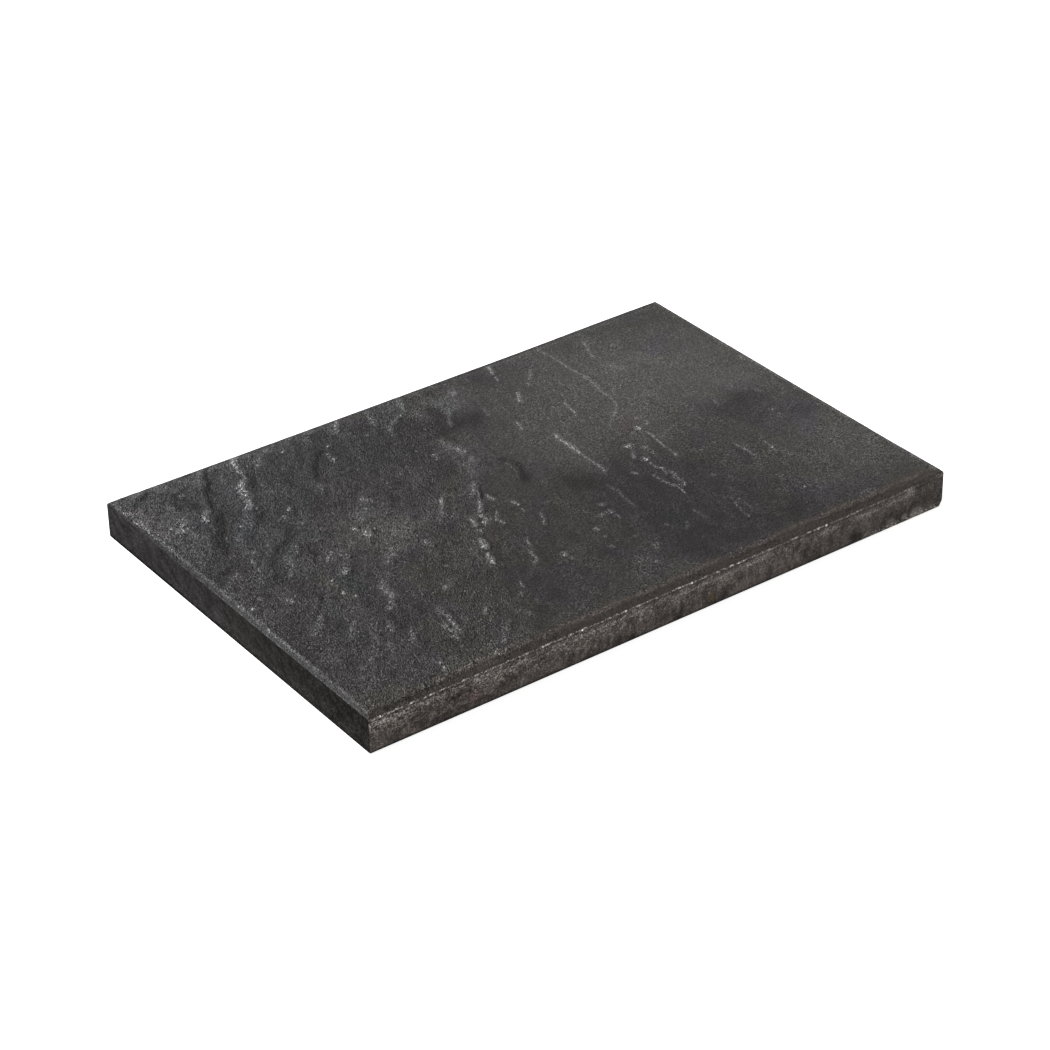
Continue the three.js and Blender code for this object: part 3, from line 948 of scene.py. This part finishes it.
wire((lumps - 0.5) * given["Grain Size"], result["Height"])
wire(fine_tone * coarse_tone, result["Tone"])
wire(fine_chance["Blue"], result["Gloss"])
wire(fine.vector("SUBTRACT", (0.5, 0.5, 0.5)), result["Tilt"])

# Lime bloom: the pale chalky film that works out of cast stone, in drifts and runs.
bloom, given, result = new_group(
    "lime bloom",
    {"Size": 20.0, "Amount": 0.5, "Speckle": 1.5},
    {"Film": "Float"},
)
drifts = given["Place"].noise(1.0 / given["Size"], 4.0, 0.65) + (given["Amount"] * 0.5 - 0.25)
dusting = given["Place"].noise(1.0 / given["Speckle"], 2.0)
wire(drifts.ramp(0.42, 0.68) * dusting.ramp(0.35, 0.65, 0.35, 1.0), result["Film"])


def stone_material(name):
    """A new material, its place on the slab in millimetres, and the three parts of that place."""
    material = bpy.data.materials.new(name)
    material.use_nodes = True
    place = node(material.node_tree, "ShaderNodeTexCoord")["Object"].scaled(1 / MM)
    parts = node(material.node_tree, "ShaderNodeSeparateXYZ", {0: place})
    return material, place, parts["X"], parts["Y"], parts["Z"]


def kept(tree, name):
    """A value kept on the slab's points."""
    return node(tree, "ShaderNodeAttribute", attribute_name=name)["Fac"]


def sandy_grain(place, size, contrast):
    """The sandy grain, placed in a material with its own size and contrast."""
    inputs = {"Place": place, "Grain Size": size, "Contrast": contrast}
    return node(place.tree, "ShaderNodeGroup", inputs, node_tree=grit)


def lime_film(place, size, speckle):
    """The lime bloom, placed in a material with its own size and speckle."""
    inputs = {"Place": place, "Size": size, "Amount": 0.5, "Speckle": speckle}
    return node(place.tree, "ShaderNodeGroup", inputs, node_tree=bloom)


def finish_stone(material, grain, colour, rough, specular, height, lean):
    """Wires up a stone's shader. Its surface is raised by a height in millimetres, and each grain
    of it leans its own way."""
    shader = material.node_tree.nodes["Principled BSDF"].inputs
    wire(colour, shader["Base Color"])
    wire(rough, shader["Roughness"])
    shader["Specular IOR Level"].default_value = specular
    raised = node(material.node_tree, "ShaderNodeBump", {"Height": height, "Strength": 1.0, "Distance": MM})
    leaning = raised.vector("ADD", grain["Tilt"].scaled(lean))
    wire(leaning.vector("NORMALIZE"), shader["Normal"])
    return material


# How light the riven stone is: its mean, what a step of 1 in tone adds, and the least it can be.
MEAN_LIGHT = 0.0184
TONE_STEP = 0.0343
LEAST_LIGHT = 0.004

# The painted shadow line along the top of the near bevel and the pale lip behind it: how far in
# from the near long edge they lie, and where along the edge the shadow line breaks off.
BEVEL_TOP_SHADOW_IN = 5.2
LIP_IN = 8.8
GAP_AT = -80.0


def riven_face():
    """The cleft face and the bevel: charcoal, sandy at one end, smoother at the other."""
    material, place, x, y, _ = stone_material("riven face")
    tree = place.tree
    cleft = kept(tree, "cleft")
    mottle = place.noise(0.04, 4.0, 0.6)
    breaks = place.noise(0.45, 2.0, 0.6)
    grain_at = {0: kept(tree, "over_grain"), 1: kept(tree, "along_grain")}
    streaks = node(tree, "ShaderNodeCombineXYZ", grain_at).noise(0.09, 2.0)
    calmest = y.ramp(-180.0, 100.0, 1.05, 0.60) * x.ramp(150.0, 270.0, 1.0, 0.72)
    harshest = y.ramp(-150.0, 120.0, 1.75, 2.05)
    contrast = cleft.ramp(0.0, 1.0, calmest, harshest) + x.ramp(-120.0, -210.0, 0.0, 0.25)
    contrast = contrast * mottle.ramp(0.42, 0.58, 0.7, 1.15)

    # Finer grains, drawn out along the cleavage, at the cleft end; rounder ones where it is smooth.
    drawn_out = place.turned(36, "Z_AXIS").vector("MULTIPLY", (1.5, 0.75, 1.0))
    cleft_grain = sandy_grain(drawn_out, 0.8, contrast)
    round_grain = sandy_grain(place, 0.85, contrast)
    grain = {"Tilt": cleft.mix(round_grain["Tilt"], cleft_grain["Tilt"], "VECTOR")}
    for title in ("Height", "Tone", "Gloss"):
        grain[title] = cleft.mix(round_grain[title], cleft_grain[title], "FLOAT")

    # Broad lights and darks, and the casts of colour over them.
    shade = mottle.ramp(0.3, 0.7, -0.09, 0.09) + streaks.ramp(0.3, 0.7, -0.09, 0.09)
    shade = shade + kept(tree, "cloud")
    light = (shade * TONE_STEP + MEAN_LIGHT).most(LEAST_LIGHT)
    cast = node(tree, "ShaderNodeCombineXYZ", {0: kept(tree, "cast_red"), 2: kept(tree, "cast_blue")})
    colour = cast.scaled(light * 0.0168 + 0.0012).vector("ADD", light)

    # The shelf fronts, painted pale (painted highlight, partly rubbed wear) or dark (painted shade),
    # and the veins. Both are ragged and broken.
    nudge = breaks * 2.4 - 1.2
    broken = breaks.ramp(0.36, 0.58)
    picked = grain["Gloss"].ramp(0.3, 0.6, 0.3, 1.0)
    front_at = kept(tree, "front_at") + nudge
    front_tone = kept(tree, "front_tone")
    off_front = abs(front_at)
    front = off_front.ramp(0.3, 1.1, 1.0, 0.0).most(off_front.ramp(0.6, 2.6, 0.3, 0.0)) * front_tone
    # Pale fronts: painted highlight where a front faces the light, partly rubbed wear.
    rubbed_and_lit = (front * broken.ramp(0.0, 1.0, 0.1, 1.0)).clamped()
    colour = (rubbed_and_lit * picked).mix(colour, grey(0.17))
    # Dark fronts: painted shade where a front faces away from the light.
    shadowed = (front * -0.8).clamped()
    colour = shadowed.mix(colour, (0.0046, 0.0040, 0.0044, 1))
    off_vein = abs(kept(tree, "vein_at") + nudge)
    in_vein = off_vein.ramp(0.4, 1.2, 1.0, 0.0).most(off_vein.ramp(0.6, 3.0, 0.22, 0.0))
    vein = (in_vein * kept(tree, "vein_strength") * broken.ramp(0.0, 1.0, 0.25, 1.0)).clamped()
    colour = (vein * picked).mix(colour, grey(0.25, 0.02))

    # A brown margin along the near long edge and its bevel, with a painted shadow line along the top
    # of the bevel and a paler lip behind that. At the gap the painted shadow line breaks off and the
    # lip is at its palest.
    down_bevel = kept(tree, "down_bevel")
    on_bevel = down_bevel.ramp(0.0, 0.12)
    to_near_edge = y + HALF_SHORT
    to_gap = abs(x - GAP_AT)
    ragged = mottle * 44.0 - 22.0
    margin = (to_near_edge + ragged).ramp(1.0, 17.0, 0.8, 0.0)
    colour = margin.mix(colour, (0.0290, 0.0225, 0.0168, 1))
    lip = abs(to_near_edge - LIP_IN).ramp(0.8, 4.8, 0.55, 0.0) * to_gap.ramp(15.0, 35.0, 1.6, 1.0)
    lip = lip * x.ramp(-230.0, -190.0, 0.45, 1.0) * broken
    colour = lip.mix(colour, (0.074, 0.058, 0.050, 1))
    near_bevel = on_bevel * to_near_edge.ramp(6.2, 7.4, 0.8, 0.0)
    colour = near_bevel.mix(colour, (0.050, 0.0395, 0.032, 1))
    deep = x.ramp(-230.0, -190.0, 0.4, 0.0) + x.ramp(-60.0, 160.0, 0.44, 0.84)
    deep = deep - x.ramp(185.0, 215.0, 0.0, 0.32)
    # Painted shadow: a dark brown line along the top of the near bevel.
    bevel_top_shadow = abs(to_near_edge + ragged * 0.35 - BEVEL_TOP_SHADOW_IN).ramp(0.8, 2.2, deep, 0.0)
    bevel_top_shadow = bevel_top_shadow * to_gap.ramp(15.0, 35.0)
    colour = bevel_top_shadow.mix(colour, (0.016, 0.0115, 0.0085, 1))

    # A dark line along the middle of the far edge. The short bevels are dark, a little less so
    # towards the near end, and painted pale in a line at their top and in another at the arris:
    # painted highlight along those edges, partly rubbed wear.
    far_line = (HALF_SHORT - y).ramp(6.0, 9.5, 0.6, 0.0) * abs(x).ramp(140.0, 230.0, 1.0, 0.0)
    colour = far_line.mix(colour, grey(0.006))
    short_bevel = on_bevel * to_near_edge.ramp(6.2, 7.4)
    towards_near_end = y.ramp(90.0, -40.0)
    colour = short_bevel.mix(colour, towards_near_end.mix(grey(0.003), grey(0.007)))
    to_end = HALF_LONG - abs(x)
    # Painted highlight along the top of the short bevels and along the arris, partly rubbed wear.
    top_line = to_end.ramp(4.4, 6.6, 0.8, 0.0) * down_bevel.ramp(0.1, 0.4, 1.0, 0.0)
    top_line = top_line * y.ramp(90.0, 140.0, 1.0, 0.6)
    arris_line = down_bevel.ramp(0.72, 0.9, 0.0, 0.3) * y.ramp(120.0, 50.0)
    hatching = place.vector("MULTIPLY", (1.0, 0.4, 1.0)).noise(0.8, 2.0, 0.7)
    rub_and_highlight = top_line.most(arris_line) * broken.ramp(0.0, 1.0, 0.3, 1.0) * to_near_edge.ramp(4.5, 6.0)
    rub_and_highlight = rub_and_highlight * mottle.ramp(0.38, 0.58, 0.6, 1.2) * hatching.ramp(0.40, 0.62, 0.25, 1.5)
    rub_and_highlight = rub_and_highlight.clamped()
    colour = rub_and_highlight.mix(colour, grey(0.095))

    # The grain shows least in the brown margin and in the pale lines along the short bevels. They
    # and the darks are matt.
    evened = (margin * 0.8).most(rub_and_highlight * 0.6)
    colour = colour.scaled(evened.mix(grain["Tone"], 1.0, "FLOAT"))
    matt = margin.most(bevel_top_shadow).most(shadowed).most(rub_and_highlight).most(short_bevel * towards_near_end.ramp(0.0, 1.0, 0.9, 0.3))
    rough = matt * 0.3 + grain["Gloss"].ramp(0.0, 1.0, 0.32, 0.62)

    # The face is sanded smooth in patches, and drops at the shelf fronts.
    sandy = streaks.ramp(0.36, 0.54, 0.45, 1.0) * cleft.ramp(0.0, 1.0, 0.7, 1.0)
    height = grain["Height"] * (sandy * 1.8) + streaks * cleft.ramp(0.0, 1.0, 0.3, 0.9)
    height = height + front_at.ramp(-0.6, 0.6) * abs(front_tone) * 0.9 + vein * 0.3
    lean = cleft.ramp(0.0, 1.0, 0.2, 1.1)
    return finish_stone(material, grain, colour, rough, 0.4, height, lean)


def long_side():
    """The long sides: brown-grey and gritty, crumbly pale along the arris, painted shadow along the foot.
    """
    material, place, x, _, z = stone_material("long side")
    contrast = z.ramp(6.0, 24.0, 0.42, 0.70) * x.ramp(-300.0, 220.0, 1.12, 0.62)
    grain = sandy_grain(place, 1.1, contrast)
    drawn = x.ramp(-220.0, -110.0).mix((0.45, 1.0, 1.0), (1.0, 1.0, 0.6), "VECTOR")
    patch = place.vector("MULTIPLY", drawn).noise(0.13, 4.0, 0.62)
    run = place.noise(0.03, 2.0)
    shade = patch.ramp(0.34, 0.66, x.ramp(60.0, 230.0, 0.05, 0.30), x.ramp(60.0, 230.0, 0.95, 0.66))
    shade = shade + run.ramp(0.35, 0.65, -0.22, 0.22) + z.ramp(4.0, 24.0, -0.06, 0.12)
    shade = shade + x.ramp(-250.0, 290.0, 0.03, -0.10)
    colour = shade.mix((0.0225, 0.0190, 0.0166, 1), (0.101, 0.0853, 0.0760, 1))
    crumbs = lime_film(place, 7.0, 1.5) * z.ramp(8.0, 24.0, 0.08, 0.55) * x.ramp(20.0, 260.0, 1.0, 0.4)
    colour = crumbs.mix(colour, grey(0.13, 0.10))

    # The crumbly pale line under the arris, and the dark seam above it.
    off_line = abs(z - (patch * 8.0 + 20.5))
    on_line = off_line.ramp(0.4, 2.0, 1.0, 0.0) * run.ramp(0.42, 0.6) * 0.55
    colour = on_line.mix(colour, grey(0.17, 0.07))
    seam = abs(z - (ARRIS - 2.2)).ramp(0.4, 1.3, 0.45, 0.0)
    colour = seam.mix(colour, grey(0.014, 0.12))

    # Pale, pinkish, olive and dark spots, all on the near side: their place along and up the side,
    # reach, strength and colour.
    for spot, reach, strength, stain in (
        ((-186, 27), 17.0, 0.35, grey(0.15, 0.09)),
        ((30, 22), 16.0, 0.35, grey(0.035, 0.12)),
        ((262, 28), 6.0, 0.5, grey(0.15, 0.09)),
        ((240, 4), 6.0, 0.5, grey(0.14, 0.10)),
        ((270, 2), 9.0, 0.6, grey(0.15, 0.10)),
        ((-200, 12), 6.5, 0.45, (0.115, 0.075, 0.068, 1)),
        ((41, 8), 4.5, 0.5, (0.085, 0.062, 0.026, 1)),
        ((-152, 5), 4.5, 0.5, grey(0.12, 0.10)),
        ((-98, 3), 4.0, 0.45, grey(0.11, 0.10)),
        ((256, 5), 3.5, 0.6, grey(0.16, 0.10)),
        ((275, 4), 3.0, 0.6, grey(0.16, 0.10)),
        ((200, 5), 7.0, 0.8, grey(0.012, 0.10)),
        ((-252, 14), 11.0, 0.6, grey(0.018, 0.14)),
        ((-276, 5), 7.0, 0.5, grey(0.018, 0.14)),
        ((-165, 13), 8.0, 0.35, grey(0.020, 0.14)),
    ):
        away = place.vector("DISTANCE", (spot[0], -HALF_SHORT, spot[1]))["Value"] + patch * reach
        colour = away.ramp(reach, reach * 1.7, strength, 0.0).mix(colour, stain)

    # Painted shadow, near black, along the foot, with pale flakes at its +X end, and pale chips along
    # the arris.
    dashes = place.vector("MULTIPLY", (0.45, 1.0, 1.0)).noise(0.5, 3.0, 0.7)
    foot_shadow = (patch * -3.0 + z).ramp(-1.0, x.ramp(-120.0, 60.0, 2.2, 1.2), 0.85, 0.0)
    foot_shadow = foot_shadow * x.ramp(195.0, 225.0, 1.0, 0.35)
    colour = foot_shadow.mix(colour, grey(0.008, 0.05))
    flakes = dashes.ramp(0.50, 0.58) * z.ramp(2.0, 6.0, 0.8, 0.0) * x.ramp(195.0, 230.0)
    colour = flakes.mix(colour, grey(0.28, 0.08))
    chips = (patch * 2.4 + z).ramp(ARRIS - 0.1, ARRIS + 0.5) * dashes.ramp(0.44, 0.66)
    chips = chips * run.ramp(0.35, 0.6, 0.35, 1.1) * x.ramp(170.0, 240.0, 1.0, 0.25) * 0.9
    colour = chips.mix(colour, grey(0.42, 0.03))
    # The deepest chips, which have broken nearly white.
    for along in (-289, -132, -93, -49, 20, 70, 157, 166):
        away = place.vector("DISTANCE", (along, -HALF_SHORT, ARRIS - 0.4))["Value"]
        colour = away.ramp(0.6, 1.5, 0.9, 0.0).mix(colour, grey(0.6, 0.02))

    rough = grain["Gloss"].ramp(0.0, 1.0, 0.7, 0.9)
    height = grain["Height"] * 0.6 + patch
    return finish_stone(material, grain, colour.scaled(grain["Tone"]), rough, 0.12, height, 0.15)


def short_side():
    """The short sides: smooth, near black, softly mottled, painted shadow along the foot."""
    material, place, _, y, z = stone_material("short side")
    grain = sandy_grain(place, 1.2, y.ramp(-50.0, -170.0, 0.25, 0.4))
    patch = place.turned(-35, "X_AXIS").vector("MULTIPLY", (1.0, 0.45, 1.0)).noise(0.14, 4.0, 0.6)
    light = y.ramp(-HALF_SHORT, HALF_SHORT, 0.0118, 0.0222) * patch.ramp(0.3, 0.7, 0.7, 1.35)
    light = light * y.ramp(120.0, 0.0).mix(1.0, z.ramp(3.0, 27.0, 1.35, 0.95), "FLOAT")
    tint = y.ramp(-80.0, 140.0).mix((1.04, 1.0, 0.94, 1), (1.06, 0.97, 1.03, 1))
    # Painted shadow, near black, along the foot.
    foot_shadow = (patch * -16.0 + z).ramp(-6.5, -3.5, 0.8, 0.0) * y.ramp(-120.0, 60.0, 0.5, 1.0)
    colour = foot_shadow.mix(tint.scaled(light), grey(0.003)).scaled(grain["Tone"])
    rough = grain["Gloss"].ramp(0.0, 1.0, 0.7, 0.85)
    height = grain["Height"] * 0.3 + patch * 0.8
    return finish_stone(material, grain, colour, rough, 0.0, height, 0.12)


def bed_face():
    """The bed: open-grained, matt and dusty."""
    material, place, *_ = stone_material("bed face")
    grain = sandy_grain(place, 1.8, 0.5)
    film = lime_film(place, 35.0, 2.0)
    colour = grain["Tone"].ramp(0.6, 1.6).mix(grey(0.020, 0.06), grey(0.045, 0.07))
    colour = (film * 0.35).mix(colour, grey(0.12, 0.05))
    rough = film.ramp(0.0, 1.0, 0.82, 0.95)
    return finish_stone(material, grain, colour, rough, 0.25, grain["Height"] * 0.35, 0.2)


for make in (riven_face, long_side, short_side, bed_face):
    slab_mesh.materials.append(make())

# A face between the arris and the foot belongs to a long or a short side by how it faces.
normals = np.zeros(len(slab_tags) * 3, np.float32)
slab_mesh.polygons.foreach_get("normal", normals)
normals = normals.reshape(-1, 3)
faces_end = np.abs(normals[:, 0]) > np.abs(normals[:, 1])
slots = np.where((slab_tags == ON_SIDE) & faces_end, ON_SHORT_SIDE, slab_tags)
slab_mesh.polygons.foreach_set("material_index", slots.astype(np.int32))
slab_mesh.update()

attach(slab, "root")
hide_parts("slab")


# ---------------------------------------------------------------------------------------------
# The studio: a plain pale floor, one broad soft light from behind the slab on its -X side, an
# even pale surround, and a camera that looks down on the corner at -X, -Y.
# ---------------------------------------------------------------------------------------------
FLOOR_HALF = 8.0
FLOOR_DROP = 0.0004  # keeps the floor just clear of the bed
FLOOR_GLOW = 0.75  # the floor gives light of its own, which lifts the slab's shadow
LIGHT_FROM = (-0.45, 0.65, 0.61)
LIGHT_STRENGTH = 4.6
LIGHT_SPREAD = math.radians(28)
SURROUND = 0.45

floor_mesh = bpy.data.meshes.new("floor")
floor_corners = [
    (across * FLOOR_HALF, along * FLOOR_HALF, -FLOOR_DROP)
    for across, along in ((-1, -1), (1, -1), (1, 1), (-1, 1))
]
floor_mesh.from_pydata(floor_corners, [], [(0, 1, 2, 3)])
floor = bpy.data.objects.new("studio_floor", floor_mesh)
bpy.context.collection.objects.link(floor)
floor_paint = bpy.data.materials.new("pale floor")
floor_paint.use_nodes = True
floor_shader = floor_paint.node_tree.nodes["Principled BSDF"].inputs
floor_shader["Base Color"].default_value = (0.86, 0.86, 0.86, 1)
floor_shader["Roughness"].default_value = 0.9
floor_shader["Specular IOR Level"].default_value = 0.0
floor_shader["Emission Color"].default_value = (1, 1, 1, 1)
floor_shader["Emission Strength"].default_value = FLOOR_GLOW
floor_mesh.materials.append(floor_paint)

key = bpy.data.objects.new("key light", bpy.data.lights.new("key light", "SUN"))
key.data.energy = LIGHT_STRENGTH
key.data.angle = LIGHT_SPREAD
key.rotation_euler = Vector(LIGHT_FROM).to_track_quat("Z", "Y").to_euler()
bpy.context.collection.objects.link(key)

world = bpy.data.worlds.new("surround")
world.use_nodes = True
world.node_tree.nodes["Background"].inputs["Color"].default_value = (1, 1, 1, 1)
world.node_tree.nodes["Background"].inputs["Strength"].default_value = SURROUND
bpy.context.scene.world = world
bpy.context.scene.view_settings.view_transform = "Standard"

CAMERA_AZIMUTH = math.radians(-36.04)
CAMERA_ELEVATION = math.radians(31.96)
CAMERA_ROLL = math.radians(-0.87)
CAMERA_DISTANCE = 2.6656
CAMERA_AIM = Vector((-0.00654, -0.00489, 0.00037))
CAMERA_LENS = 105.86
CAMERA_SENSOR = 36.0

camera = bpy.data.objects.new("camera", bpy.data.cameras.new("camera"))
camera.data.lens = CAMERA_LENS
camera.data.sensor_width = CAMERA_SENSOR
backward = Vector((
    math.sin(CAMERA_AZIMUTH) * math.cos(CAMERA_ELEVATION),
    -math.cos(CAMERA_AZIMUTH) * math.cos(CAMERA_ELEVATION),
    math.sin(CAMERA_ELEVATION),
))
level_right = Vector((0, 0, 1)).cross(backward).normalized()
level_up = backward.cross(level_right)
right = math.cos(CAMERA_ROLL) * level_right + math.sin(CAMERA_ROLL) * level_up
up = math.cos(CAMERA_ROLL) * level_up - math.sin(CAMERA_ROLL) * level_right
aimed = Matrix((right, up, backward)).transposed().to_4x4()
camera.matrix_world = Matrix.Translation(CAMERA_AIM + backward * CAMERA_DISTANCE) @ aimed
bpy.context.collection.objects.link(camera)
bpy.context.scene.camera = camera
